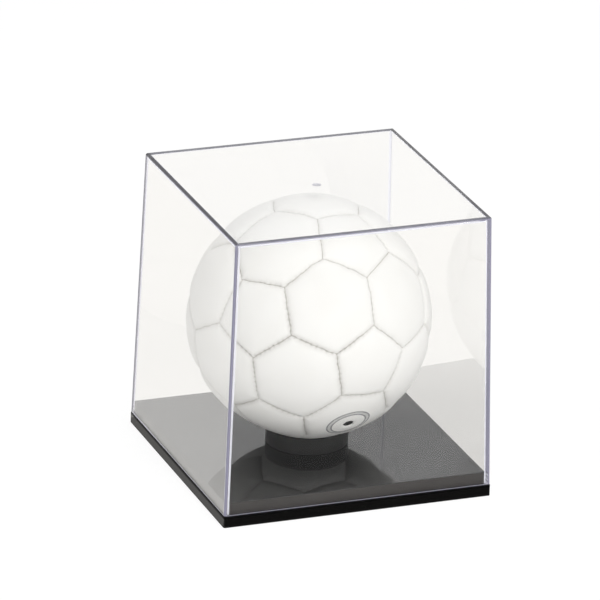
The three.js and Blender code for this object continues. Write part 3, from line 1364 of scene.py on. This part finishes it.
@dataclass
class Ball:
    """The stitched cover of the ball: 32 puffed leather panels and their thread."""

    centre: Vector = Vector((-4.0 * MM, -5.0 * MM, 122.02 * MM))
    radius: float = 94.5 * MM
    seam_depth: float = 2.3 * MM
    gap: float = 0.4 * MM
    lean: float = math.radians(23.75)
    turn: float = math.radians(-20.85)
    corner_share: float = 100 / 3  # how far along an edge of the pattern its seam corners lie
    rows: int = 36  # of faces from a panel's middle to its seam
    crowding: float = 1.5  # how much closer the rows lie near the seam
    round_share: float = 0.36  # how much of a panel's fall to its seam is a plain dome
    round_power: float = 2.5
    crown_power: float = 10.0
    uneven: float = 0.26 * MM
    uneven_swings: float = 5.0  # in the noise's measure, over the ball's radius, as the next two are
    seam_swings: float = 13.0
    stitch_swings: float = 42.0
    seam_wave: float = 0.55 * MM
    stitch_wave: float = 0.42 * MM
    seed_step: float = 7.3  # between the seeds of two panels
    pucker: float = 0.40 * MM
    pucker_from: float = 0.80  # a share of the way to the seam
    pucker_power: float = 0.7
    pucker_end: float = 0.7  # how much of it is left at the seam itself
    stitch_reach: float = 2.0 * MM  # from the seam
    stitches: int = 9  # along a seam
    stitch_gap: float = 4.0  # how much wider the space from one to the next is than half of one
    lip_steps: tuple[tuple[float, float], ...] = (
        (0.35 * MM, 0.0), (0.75 * MM, 0.30 * MM), (2.4 * MM, 0.30 * MM),  # how deep and how far back
    )
    hole_radius: float = 4.5 * MM
    hole_lip: float = 1.2 * MM  # how wide the hole's edge is drawn in
    hole_drop: float = 0.5 * MM  # and how deep
    thread_radius: float = 0.38 * MM
    thread_depth: float = 0.62 * MM
    thread_sides: int = 8
    thread_steps: int = 10
    knot_radius: float = 0.50 * MM
    first_ahead: Matrix = Matrix.Rotation(-math.pi / 2, 4, "Z")  # turns a circle's first corner to +X

    def __post_init__(self) -> None:
        """Works out the seam pattern in the frame's directions."""
        self.pattern = self._pattern()

    def _pattern(self) -> BMesh:
        """Builds the seam pattern: an icosahedron whose corners are cut to pentagons.

        Returns:
            The pattern about the origin, turned as the ball lies.
        """
        golden = (1 + math.sqrt(5)) / 2
        bm = bmesh.new()
        for one in (-1, 1):
            for long in (-golden, golden):
                for corner in ((0, one, long), (one, long, 0), (long, 0, one)):
                    bm.verts.new(Vector(corner).normalized())
        bmesh.ops.convex_hull(bm, input=bm.verts[:])
        bmesh.ops.bevel(
            bm, geom=bm.verts[:], offset=self.corner_share, offset_type="PERCENT", affect="VERTICES",
            segments=1, profile=ROUND_PROFILE, material=NO_SLOT,
        )
        turn = Matrix.Rotation(self.lean, 3, "Y") @ Matrix.Rotation(self.turn, 3, "Z")
        bmesh.ops.rotate(bm, verts=bm.verts, cent=(0, 0, 0), matrix=turn)
        bmesh.ops.recalc_face_normals(bm, faces=bm.faces)
        return bm

    def axis_of(self, node: str) -> Vector:
        """Finds the direction of a panel from its CAD node.

        Args:
            node: The node's name.

        Returns:
            The direction from the ball's centre to the middle of the panel.
        """
        low, high = (Vector(corner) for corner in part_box(node))
        towards = (low + high) / 2 - self.centre
        return max((face.calc_center_median().normalized() for face in self.pattern.faces), key=towards.dot)

    def _wave(self, way: Vector) -> Vector:
        """Shifts a direction a little, so that the seams wander as hand stitching does.

        Args:
            way: A direction from the ball's centre.

        Returns:
            The shifted direction.
        """
        slow = noise.noise_vector(way * self.seam_swings) * self.seam_wave
        quick = noise.noise_vector(way * self.stitch_swings) * self.stitch_wave
        return (way + (slow + quick) / self.radius).normalized()

    def _flat_grid(self, sides: int) -> BMesh:
        """Makes a level regular polygon of small triangles, with its corners 1 from its middle.

        Args:
            sides: The polygon's sides.

        Returns:
            The grid.
        """
        bm = bmesh.new()
        bmesh.ops.create_circle(bm, cap_ends=True, segments=sides, radius=1, matrix=self.first_ahead)
        bmesh.ops.poke(bm, faces=bm.faces)
        bmesh.ops.subdivide_edges(bm, edges=bm.edges, cuts=self.rows - 1, use_grid_fill=True)
        return bm

    def _flat_ring(self, sides: int, hole: float) -> BMesh:
        """Makes a level regular polygon with a round hole, its corners 1 from its middle.

        Args:
            sides: The polygon's sides.
            hole: The hole's radius.

        Returns:
            The ring of small faces.
        """
        bm = bmesh.new()
        bmesh.ops.create_circle(bm, segments=sides, radius=1, matrix=self.first_ahead)
        bmesh.ops.subdivide_edges(bm, edges=bm.edges, cuts=self.rows - 1)
        outer = list(bm.edges)
        bmesh.ops.create_circle(bm, segments=sides * self.rows, radius=hole, matrix=self.first_ahead)
        bmesh.ops.bridge_loops(bm, edges=bm.edges[:])
        loops = set(outer) | {edge for edge in bm.edges if edge.is_boundary}
        across = [edge for edge in bm.edges if edge not in loops]
        bmesh.ops.subdivide_edges(bm, edges=across, cuts=self.rows - 1)
        return bm

    def _crown(self, share: float) -> float:
        """Returns how far a panel stands above its seams, from 1 in its middle to 0 at a seam."""
        dome, fall = share**self.round_power, share**self.crown_power
        return 1 - self.round_share * dome - (1 - self.round_share) * fall

    def _rise(self, panel: Panel, flat: Vector, share: float) -> float:
        """Works out how high a point of a panel's outside lies above the seams.

        Args:
            panel: The panel.
            flat: The point of its grid.
            share: How far it is from the middle to the seam, from 0 to 1.

        Returns:
            The height.
        """
        near_seam = min(max((share - self.pucker_from) / (1 - self.pucker_from), 0), 1) ** 2
        along = panel.along(flat, panel.side_of(flat))
        bulge = abs(math.sin(math.pi * self.stitches * along)) ** self.pucker_power
        shift = noise.noise(panel.towards(flat) * self.uneven_swings + Vector((panel.seed, 0, 0)))
        rise = self.seam_depth * self._crown(share) + self.uneven * (1 - share**4) * shift
        rise -= self.pucker * near_seam * (1 - bulge) * (1 - near_seam * (1 - self.pucker_end))
        if panel.hole:
            from_hole = (flat.length - panel.start) * self.radius * panel.reach
            rise -= self.hole_drop * max(1 - from_hole / self.hole_lip, 0) ** 2
        return rise

    def _place(self, panel: Panel, flat: Vector, back: float = 0.0, depth: float | None = None) -> Vector:
        """Places a point of a flat grid on its panel.

        Args:
            panel: The panel.
            flat: The grid's point.
            back: How far the panel's edge is set back there.
            depth: How far below the seam's lip it lies, or None on the outside.

        Returns:
            Its place in the frame.
        """
        flat, share = panel.crowd(flat, self.crowding)
        flat = flat * (1 - (self.gap / 2 + back) / panel.to_seam)
        way = self._wave(panel.towards(flat))
        lip = self.radius - self.seam_depth
        if depth is not None:
            return self.centre + way * (lip - depth)
        return self.centre + way * min(lip + self._rise(panel, flat, share), self.radius)

    def _seam_and_stitch(self, panel: Panel, flat: Vector) -> tuple[float, float]:
        """Works out what the leather's finish needs to know of a point.

        Args:
            panel: The panel.
            flat: The point of its grid.

        Returns:
            How near it is to a seam and how much of a stitch it shows, both from 0 to 1.
        """
        side = panel.side_of(flat)
        seam = 1 - (1 - min(flat.dot(side) / panel.apothem, 1)) ** self.crowding
        stitch = self.stitches * panel.along(flat, side)
        off_stitch = abs(stitch - round(stitch)) * self.stitch_gap
        off_seam = (1 - seam) * panel.to_seam / self.stitch_reach
        return seam, max(1 - off_stitch, 0) * max(1 - off_seam, 0)

    def _panel(self, panel: Panel) -> BMesh:
        """Builds one closed panel: its outside, a lip along each seam, and its back.

        Args:
            panel: Where it lies.

        Returns:
            The panel in the frame's place.
        """
        bm = self._flat_ring(panel.sides, panel.start) if panel.hole else self._flat_grid(panel.sides)
        seam, tone, stitch = (bm.verts.layers.float.new(name) for name in ("seam", "tone", "stitch"))
        outside = bm.verts[:]
        boundary = [edge for edge in bm.edges if edge.is_boundary]
        near_seam = panel.apothem * JUST_WITHIN
        seam_loop = [edge for edge in boundary if edge.verts[0].co.length > near_seam]
        hole_loop = [edge for edge in boundary if edge not in set(seam_loop)]
        twin = bmesh.ops.duplicate(bm, geom=bm.verts[:] + bm.edges[:] + bm.faces[:])
        (*steps, (back_depth, back_inset)) = self.lip_steps
        places = {}
        loop = seam_loop
        for depth, back in steps:
            made = bmesh.ops.extrude_edge_only(bm, edges=loop)["geom"]
            verts = set(of_kind(made, BMVert))
            loop = [edge for edge in of_kind(made, BMEdge) if verts.issuperset(edge.verts)]
            places |= {vert: self._place(panel, vert.co.xy, back, depth) for vert in verts}
        for vert in outside:
            places[twin["vert_map"][vert]] = self._place(panel, vert.co.xy, back_inset, back_depth)
        for vert in places:
            vert[seam] = 1
        for vert in outside:
            places[vert] = self._place(panel, vert.co.xy)
            vert[seam], vert[stitch] = self._seam_and_stitch(panel, vert.co.xy)
        shade = 0.5 + 0.5 * noise.noise(Vector((panel.seed, 0.5, 0.5)))
        bmesh.ops.bridge_loops(bm, edges=loop + [twin["edge_map"][edge] for edge in seam_loop])
        if hole_loop:
            bmesh.ops.bridge_loops(bm, edges=hole_loop + [twin["edge_map"][edge] for edge in hole_loop])
        for vert, place in places.items():
            vert[tone] = shade
            vert.co = place
        bmesh.ops.recalc_face_normals(bm, faces=bm.faces)
        smooth_all(bm)
        return bm

    def build_panels(self, leather: Material, printed: Material) -> list[Object]:
        """Builds the 32 panels, each in the place of its CAD node.

        Args:
            leather: The plain white leather.
            printed: The leather of the valve's panel.

        Returns:
            The pieces.
        """
        pieces = []
        for number, node in enumerate(sorted(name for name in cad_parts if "_panel" in name)):
            is_valve = node == "valve_panel"
            axis = self.axis_of(node)
            face = max(self.pattern.faces, key=lambda face: face.calc_center_median().normalized().dot(axis))
            panel = Panel(
                self.radius, axis, face.verts[0].co.normalized(), len(face.verts),
                self.hole_radius if is_valve else 0.0, number * self.seed_step,
            )
            label = Label(node.replace("_panel", "_leather"), Body.BALL, Slot.LEATHER, (node,))
            pieces.append(label.hand_in(self._panel(panel), printed if is_valve else leather))
        return pieces

    def build_thread(self, finish: Material) -> Object:
        """Lays the thread along every seam, under the panels' lips.

        Args:
            finish: The thread's material.

        Returns:
            The piece.
        """
        bm = bmesh.new()
        radius = self.radius - self.seam_depth - self.thread_depth
        for seam in self.pattern.edges:
            start, end = (vert.co.normalized() for vert in seam.verts)
            across = start.cross(end).normalized()
            turn = Matrix((start, across, across.cross(start))).transposed().to_4x4()
            made = bmesh.ops.create_circle(
                bm, cap_ends=False, segments=self.thread_sides, radius=self.thread_radius,
                matrix=Matrix.Translation(start * radius) @ turn,
            )["verts"]
            edges = list({edge for vert in made for edge in vert.link_edges})
            bmesh.ops.spin(
                bm, geom=made + edges, cent=(0, 0, 0), axis=across, dvec=(0, 0, 0), steps=self.thread_steps,
                angle=start.angle(end), use_merge=False, use_normal_flip=False, use_duplicate=False,
            )
        bmesh.ops.holes_fill(bm, edges=[edge for edge in bm.edges if edge.is_boundary], sides=0)
        for corner in self.pattern.verts:
            knot = Matrix.Translation(corner.co.normalized() * radius)
            bmesh.ops.create_icosphere(bm, subdivisions=2, radius=self.knot_radius, matrix=knot)
        for vert in bm.verts:
            vert.co = self.centre + self._wave(vert.co.normalized()) * vert.co.length
        bmesh.ops.recalc_face_normals(bm, faces=bm.faces)
        for face in bm.faces:
            face.smooth = len(face.verts) < self.thread_sides
        return Label("seam_thread", Body.BALL, Slot.LEATHER).hand_in(bm, finish)


@dataclass
class Bladder:
    """The inflated bladder inside the ball, and the valve in its mouth."""

    centre: Vector
    axis: Vector  # from its centre to the valve
    radius: float = 89.5 * MM
    wall: float = 1.6 * MM
    mouth: float = 4.5 * MM
    segments: int = 48
    rings: int = 32
    tip: float = 93.7 * MM  # the valve's heights are its distances from the ball's centre
    tip_radius: float = 4.2 * MM
    needle: float = 0.8 * MM
    head: float = 87.0 * MM
    head_radius: float = 9.0 * MM
    head_height: float = 2.0 * MM
    stem_radius: float = 4.0 * MM
    stem_length: float = 16.0 * MM
    valve_edge: float = 0.6 * MM
    valve_steps: int = 3

    def _stand_up(self, bm: BMesh) -> None:
        """Turns a mesh made about +Z to the valve's direction and moves it to the ball."""
        turn = self.axis.to_track_quat("Z", "Y").to_matrix()
        bmesh.ops.rotate(bm, verts=bm.verts, cent=(0, 0, 0), matrix=turn)
        bmesh.ops.translate(bm, verts=bm.verts, vec=self.centre)

    def _on_valve_rim(self, a: Vector, b: Vector) -> bool:
        """Tells whether an edge runs round the rim of the valve's tip or head.

        Args:
            a: Its first end.
            b: Its second end.

        Returns:
            True if it does.
        """
        around = near(a.z, b.z) and near(a.xy.length, b.xy.length)
        at_tip = near(a.z, self.tip) and near(a.xy.length, self.tip_radius)
        return around and (at_tip or near(a.xy.length, self.head_radius))

    def build_valve(self, finish: Material) -> Object:
        """Builds the valve: a tip in the panel's hole, a head behind the bladder's wall and a stem.

        Args:
            finish: The rubber.

        Returns:
            The piece.
        """
        low = self.head - self.head_height
        end = low - self.stem_length
        bm = turned(
            ((self.needle, end), (self.stem_radius, end), (self.stem_radius, low), (self.head_radius, low),
             (self.head_radius, self.head), (self.tip_radius, self.head), (self.tip_radius, self.tip),
             (self.needle * 2, self.tip), (self.needle, self.tip - self.needle)),
            self.segments,
        )
        round_off(bm, edges_where(bm, self._on_valve_rim), self.valve_edge, self.valve_steps)
        smooth_all(bm)
        self._stand_up(bm)
        return Label("valve_rubber", Body.BALL, Slot.RUBBER, ("valve",)).hand_in(bm, finish)

    def build_bladder(self, finish: Material) -> Object:
        """Builds the bladder, with the mouth that the valve stands in.

        Args:
            finish: The rubber.

        Returns:
            The piece.
        """
        bm = bmesh.new()
        bmesh.ops.create_uvsphere(bm, u_segments=self.segments, v_segments=self.rings, radius=self.radius)
        top = max(bm.verts, key=lambda vert: vert.co.z)
        bmesh.ops.delete(bm, geom=[top], context="VERTS")
        mouth_height = math.sqrt(self.radius**2 - self.mouth**2)
        for vert in {vert for edge in bm.edges if edge.is_boundary for vert in edge.verts}:
            flat = vert.co.xy.normalized() * self.mouth
            vert.co = Vector((flat.x, flat.y, mouth_height))
        twin = bmesh.ops.duplicate(bm, geom=bm.verts[:] + bm.edges[:] + bm.faces[:])["geom"]
        share = 1 - self.wall / self.radius
        bmesh.ops.scale(bm, verts=of_kind(twin, BMVert), vec=(share, share, share))
        bmesh.ops.bridge_loops(bm, edges=[edge for edge in bm.edges if edge.is_boundary])
        bmesh.ops.recalc_face_normals(bm, faces=bm.faces)
        smooth_all(bm)
        self._stand_up(bm)
        return Label("bladder_rubber", Body.BALL, Slot.RUBBER, ("bladder",)).hand_in(bm, finish)


# The studio


def direction(azimuth: float, elevation: float) -> Vector:
    """Finds a direction as seen from the middle of the case.

    Args:
        azimuth: Degrees from the front towards the right.
        elevation: Degrees above the floor.

    Returns:
        The direction.
    """
    around, upwards = math.radians(azimuth), math.radians(elevation)
    across = math.cos(upwards)
    return Vector((math.sin(around) * across, -math.cos(around) * across, math.sin(upwards)))


@dataclass(frozen=True)
class Viewpoint:
    """Where the photograph was taken from."""

    azimuth: float = -21.16
    elevation: float = 21.58
    roll: float = 1.80
    distance: float = 4.7146
    right: float = -0.0062  # how far the camera stands to the side of the line to the origin
    up: float = 0.1243
    lens: float = 359.88  # millimetres, on a sensor 36 wide
    sensor: float = 36.0
    sight: float = 100.0  # how far it sees

    def place(self) -> None:
        """Makes the scene's camera."""
        back = direction(self.azimuth, self.elevation)
        right = UP.cross(back).normalized()
        upright = Matrix((right, back.cross(right), back))
        turn = (Matrix.Rotation(-math.radians(self.roll), 3, "Z") @ upright).transposed()
        lens = bpy.data.cameras.new("photo_camera")
        lens.sensor_fit = "HORIZONTAL"
        lens.sensor_width = self.sensor
        lens.lens = self.lens
        lens.clip_end = self.sight
        camera = bpy.data.objects.new("photo_camera", lens)
        place = turn @ Vector((self.right, self.up, self.distance))
        camera.matrix_world = Matrix.Translation(place) @ turn.to_4x4()
        bpy.context.scene.collection.objects.link(camera)
        bpy.context.scene.camera = camera


@dataclass(frozen=True)
class SoftLamp:
    """A square soft light, aimed at the middle of the case."""

    name: str
    azimuth: float
    elevation: float
    distance: float
    size: float
    power: float
    aim: float = 0.11

    def place(self) -> None:
        """Makes the lamp."""
        way = direction(self.azimuth, self.elevation)
        light = bpy.data.lights.new(self.name, "AREA")
        light.size = self.size
        light.energy = self.power
        lamp = bpy.data.objects.new(self.name, light)
        place = UP * self.aim + way * self.distance
        lamp.matrix_world = Matrix.Translation(place) @ way.to_track_quat("Z", "Y").to_matrix().to_4x4()
        lamp.visible_glossy = False  # the roof would mirror it, which hides the ball
        lamp.visible_transmission = False
        bpy.context.scene.collection.objects.link(lamp)


@dataclass
class Studio:
    """A white floor, white surroundings and soft lamps."""

    floor_radius: float = 8.0
    floor_steps: int = 96
    floor_colour: Colour = (0.97, 0.97, 0.965)
    seen_white: Colour = (1.0, 1.0, 1.0)
    seen_warm: Colour = (1.0, 0.985, 0.955)
    card: Colour = (0.06, 0.06, 0.065)  # what the front wall mirrors of the floor
    card_near: Colour = (0.0, 0.0, 0.0)  # and the front of the rim
    front: float = -0.112
    card_band: float = -0.138
    card_from: float = -0.28
    card_to: float = -0.45
    foot_to: float = 0.1185  # the sides of the rim mirror the floor up to here
    foot_shade: float = 0.45
    glow: float = 1.035  # what the white that is seen has over 1, for what the lit part under it lacks
    shadow_share: float = 0.16
    ambient: float = 0.64
    lamps: tuple[SoftLamp, ...] = (
        SoftLamp("key_lamp", 6, 14, 2.6, 1.6, 17.5),
        SoftLamp("top_lamp", 0, 70, 2.6, 1.8, 29),
    )

    def _mirrored_floor(self, mix: Recipe) -> NodeSocket:
        """Colours the floor that plastic mirrors: white, with a dark field in front.

        Args:
            mix: The floor's recipe.

        Returns:
            The colour.
        """
        place = mix.axes()
        away = mix.maths("MAXIMUM", mix.maths("ABSOLUTE", place["X"]), mix.maths("ABSOLUTE", place["Y"]))
        shade = mix.ramp(away, self.foot_to - MM, self.foot_to, self.foot_shade, 1.0)
        white = mix.vectors("SCALE", self.seen_warm, Scale=shade).outputs[0]
        card = mix.blend(mix.ramp(place["Y"], self.card_to, self.card_from), self.seen_warm, self.card)
        card = mix.blend(mix.ramp(place["Y"], self.card_band - MM, self.card_band), card, self.card_near)
        return mix.blend(mix.ramp(place["Y"], self.front - MM, self.front, 1.0, 0.0), white, card)

    def _floor_material(self) -> Material:
        """Makes the floor's white, which keeps the object's shadow.

        Returns:
            The material.
        """
        material, mix = new_material("studio_floor")
        path = mix.add("LightPath")
        is_mirrored = mix.maths("GREATER_THAN", path.outputs["Glossy Depth"], 0.5)
        through = mix.blend(path.outputs["Is Transmission Ray"], self.seen_white, self.seen_warm)
        looks = mix.blend(is_mirrored, through, self._mirrored_floor(mix))
        strength = mix.ramp(path.outputs["Is Glossy Ray"], 0, 1, self.glow, 1.0)
        glow = mix.add("Emission", Color=looks, Strength=strength).outputs[0]
        dull = mix.add("BsdfDiffuse", Color=self.floor_colour).outputs[0]
        share = mix.product(mix.maths("SUBTRACT", 1.0, path.outputs["Is Glossy Ray"]), self.shadow_share)
        lit = mix.layer(share, glow, dull)
        mix.add("OutputMaterial", Surface=mix.layer(mix.shows(path), dull, lit))
        return material

    def _surroundings(self) -> None:
        """Makes the world: white where it is seen or mirrored, dimmer as a light."""
        world = bpy.data.worlds.new("studio")
        world.use_nodes = True
        bpy.context.scene.world = world
        mix = Recipe(world.node_tree)
        light = mix.add("Background", Color=self.seen_white, Strength=self.ambient).outputs[0]
        seen = mix.add("Background", Color=self.seen_white, Strength=1.0).outputs[0]
        mix.add("OutputWorld", Surface=mix.layer(mix.shows(mix.add("LightPath")), light, seen))

    def build(self) -> None:
        """Makes the floor, the surroundings and the lamps."""
        bm = bmesh.new()
        bmesh.ops.create_circle(bm, cap_ends=True, segments=self.floor_steps, radius=self.floor_radius)
        mesh = bpy.data.meshes.new("studio_floor")
        bm.to_mesh(mesh)
        bm.free()
        mesh.materials.append(self._floor_material())
        floor = bpy.data.objects.new("studio_floor", mesh)
        bpy.context.scene.collection.objects.link(floor)
        self._surroundings()
        for lamp in self.lamps:
            lamp.place()
        bpy.context.scene.view_settings.view_transform = "Standard"
        LOG.info("studio with %d lamps", len(self.lamps))


def black_finishes() -> list[Material]:
    """Makes the base's finishes, in the order of their kinds."""
    return [finish.make() for finish in (
        GlossBlack(),
        GlossBlack(BlackKind.RIM, (0.006, 0.0058, 0.0056), (0.012, 0.012, 0.011), 1.5),
        # the rim's borders: near black and barely mirroring, as painted shade under the cover's foot and
        # along the floor
        GlossBlack(BlackKind.EDGE, (0.004, 0.004, 0.004), (0.010, 0.010, 0.010), shine=0.02),
        GlossBlack(BlackKind.SIDE, (0.078, 0.073, 0.070), (0.095, 0.090, 0.086)),
    )]


def clear_finishes() -> list[Material]:
    """Makes the cover's finishes, in the order of their kinds."""
    lilac, pale, white = (0.265, 0.257, 0.34), (0.72, 0.72, 0.80), (0.87, 0.87, 0.93)
    outer = PipedLight(lilac, (0.13, 0.127, 0.155), (0.13, 0.13, 0.155), (0.035, 0.034, 0.040), 0.95, 0.0)
    inner = PipedLight((0.70, 0.70, 0.76), white, pale, pale, 0.80, 0.80, glow=0.35)
    foot = PipedLight((0.03, 0.029, 0.045), (0.72, 0.71, 0.80), pale, pale, 0.85, 0.85)
    return [finish.make() for finish in (
        ClearPlastic(),
        ClearPlastic(ClearKind.GATE),
        ClearPlastic(ClearKind.EDGE, outer),
        ClearPlastic(ClearKind.INNER_EDGE, inner),
        ClearPlastic(ClearKind.FOOT, foot),
    )]


def main() -> None:
    """Builds the display case and its studio, and reports each piece."""
    logging.basicConfig(level=logging.INFO, format="%(name)s: %(message)s")
    noise.seed_set(NOISE_SEED)
    Viewpoint().place()
    Studio().build()
    ball = Ball()
    valve_axis = ball.axis_of("valve_panel")
    bladder = Bladder(ball.centre, valve_axis)
    rings = PrintedRings(ball.centre, valve_axis)
    printed = WhiteLeather("white_leather_valve_finish", print=rings).make()
    rubber = BlackRubber().make()
    pieces = [
        Base().build(*black_finishes()),
        Cover().build(*clear_finishes()),
        RingStand().build(SatinBlack().make()),
        *ball.build_panels(WhiteLeather().make(), printed),
        ball.build_thread(SeamThread().make()),
        bladder.build_valve(rubber),
        bladder.build_bladder(rubber),
    ]
    for piece in pieces:
        LOG.info("%s: %d faces", piece.name, len(piece.data.polygons))


if __name__ == "__main__":
    main()
